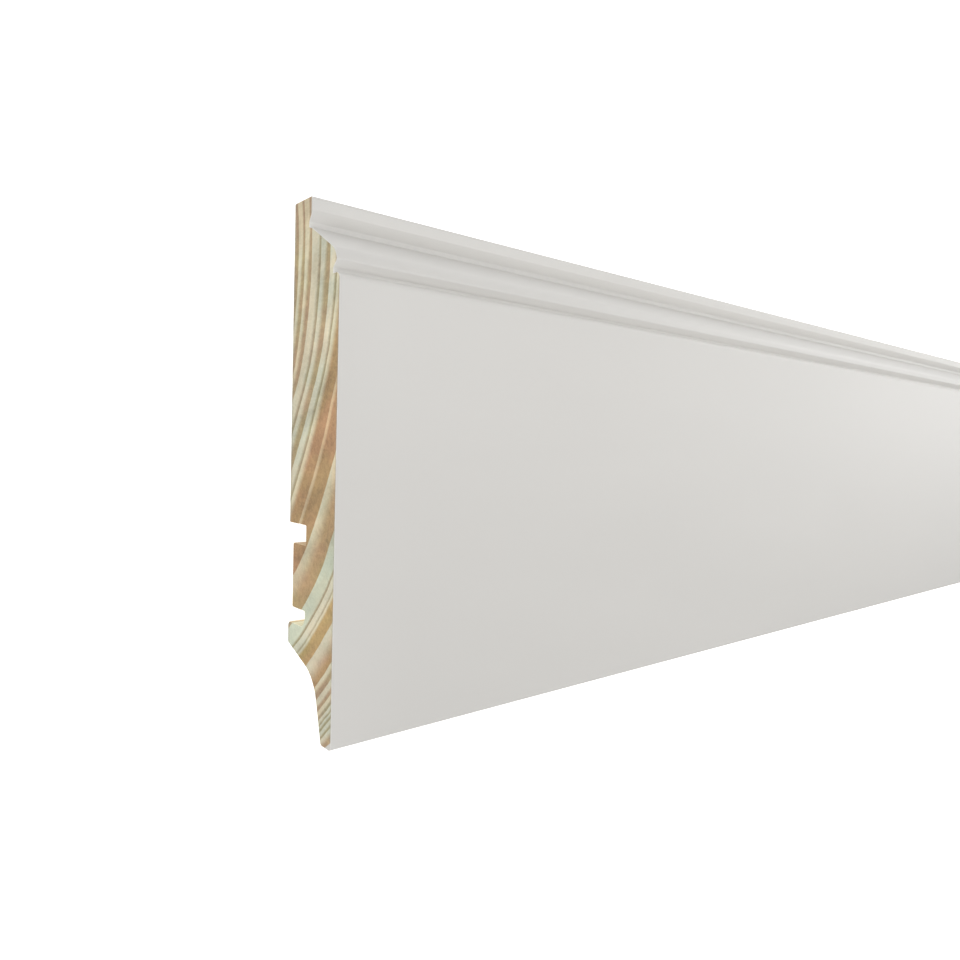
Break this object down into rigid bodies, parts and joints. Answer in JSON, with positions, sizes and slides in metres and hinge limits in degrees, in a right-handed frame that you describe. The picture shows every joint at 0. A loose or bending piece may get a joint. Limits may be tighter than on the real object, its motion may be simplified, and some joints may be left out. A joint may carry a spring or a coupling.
{
  "type": "skirting board length",
  "caption": "Long wooden skirting board with a flat painted face, an ogee and bead below its top lip, and a bare back with clip grooves and a cable scoop behind the toe.",
  "frame": {"origin": "middle of the board's length and height, on the plane of its back, which lies on the floor", "axes": "+X along the length, +Y from the bottom edge to the top edge, +Z from the back to the painted face"},
  "size_m": [2.4, 0.09, 0.016],
  "materials": {
    "painted_pine": "satin"
  },
  "bodies": {
    "root": {"skirting_board": "painted_pine"}
  },
  "joints": []
}
